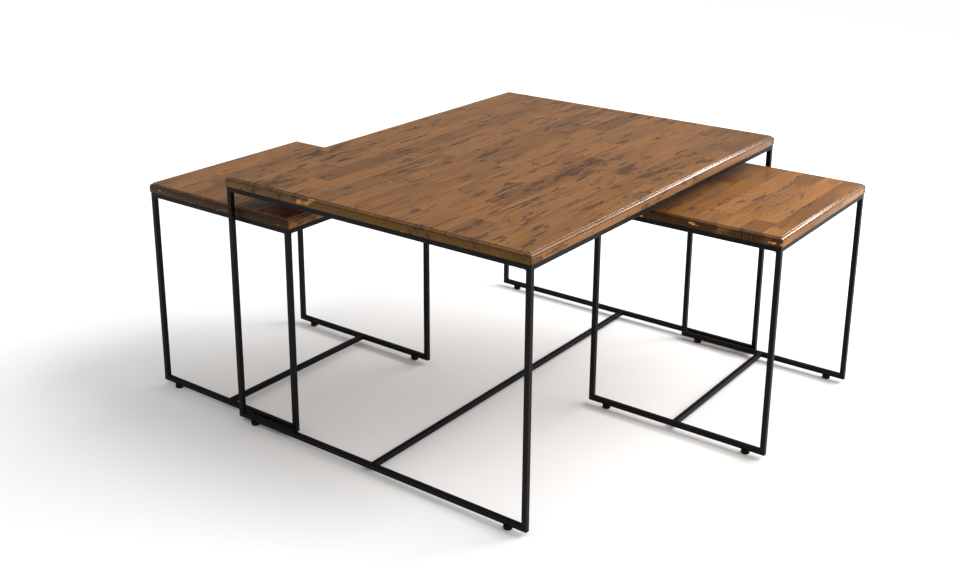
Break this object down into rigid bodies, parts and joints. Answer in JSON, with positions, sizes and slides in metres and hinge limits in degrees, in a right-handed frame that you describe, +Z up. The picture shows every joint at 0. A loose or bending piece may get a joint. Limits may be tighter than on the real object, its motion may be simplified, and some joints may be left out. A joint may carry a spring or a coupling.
{
  "type": "nesting tables",
  "caption": "Nesting coffee tables: a large low table with smaller ones that slide in under it, moulded butcher-block tops on slim black square-tube frames.",
  "frame": {"origin": "middle of the large table on the floor, in the plane of the glides' undersides", "axes": "+X across the tables' open sides, the way the small tables slide; +Y along the staves of the tops, from the near end to the far end; +Z up"},
  "size_m": [1.1504, 0.9214, 0.505],
  "materials": {
    "wood": "brown stained, distressed pine staves under a semi-gloss lacquer",
    "warm_wood": "orange-brown stained, distressed pine staves under a semi-gloss lacquer",
    "black_steel": "black satin powder coat on mild steel",
    "glide_plastic": "black moulded polyethylene",
    "zinc_screw": "zinc-plated steel"
  },
  "bodies": {
    "main_table": {"main_table_top": "wood", "main_table_ring_rail_near": "black_steel", "main_table_ring_rail_far": "black_steel", "main_table_ring_rail_left": "black_steel", "main_table_ring_rail_right": "black_steel", "main_table_leg_near_left": "black_steel", "main_table_leg_near_right": "black_steel", "main_table_leg_far_left": "black_steel", "main_table_leg_far_right": "black_steel", "main_table_floor_rail_near": "black_steel", "main_table_floor_rail_far": "black_steel", "main_table_floor_stretcher": "black_steel", "main_table_foot_near_left": "glide_plastic", "main_table_foot_near_right": "glide_plastic", "main_table_foot_far_left": "glide_plastic", "main_table_foot_far_right": "glide_plastic", "main_table_mounting_tabs": "black_steel", "main_table_top_screws": "zinc_screw", "main_table_weld_beads": "black_steel"},
    "left_table": {"left_table_top": "wood", "left_table_ring_rail_near": "black_steel", "left_table_ring_rail_far": "black_steel", "left_table_ring_rail_left": "black_steel", "left_table_ring_rail_right": "black_steel", "left_table_leg_near_left": "black_steel", "left_table_leg_near_right": "black_steel", "left_table_leg_far_left": "black_steel", "left_table_leg_far_right": "black_steel", "left_table_floor_rail_near": "black_steel", "left_table_floor_rail_far": "black_steel", "left_table_floor_stretcher": "black_steel", "left_table_foot_near_left": "glide_plastic", "left_table_foot_near_right": "glide_plastic", "left_table_foot_far_left": "glide_plastic", "left_table_foot_far_right": "glide_plastic", "left_table_mounting_tabs": "black_steel", "left_table_top_screws": "zinc_screw", "left_table_weld_beads": "black_steel"},
    "right_table": {"right_table_top": "warm_wood", "right_table_ring_rail_near": "black_steel", "right_table_ring_rail_far": "black_steel", "right_table_ring_rail_left": "black_steel", "right_table_ring_rail_right": "black_steel", "right_table_leg_near_left": "black_steel", "right_table_leg_near_right": "black_steel", "right_table_leg_far_left": "black_steel", "right_table_leg_far_right": "black_steel", "right_table_floor_rail_near": "black_steel", "right_table_floor_rail_far": "black_steel", "right_table_floor_stretcher": "black_steel", "right_table_foot_near_left": "glide_plastic", "right_table_foot_near_right": "glide_plastic", "right_table_foot_far_left": "glide_plastic", "right_table_foot_far_right": "glide_plastic", "right_table_mounting_tabs": "black_steel", "right_table_top_screws": "zinc_screw", "right_table_weld_beads": "black_steel"}
  },
  "joints": [
    {"name": "left_table_slide", "type": "slide", "parent": "main_table", "child": "left_table", "axis": [1, 0, 0], "range_m": [-0.19, 0.201]},
    {"name": "right_table_slide", "type": "slide", "parent": "main_table", "child": "right_table", "axis": [1, 0, 0], "range_m": [-0.165, 0.225]}
  ]
}
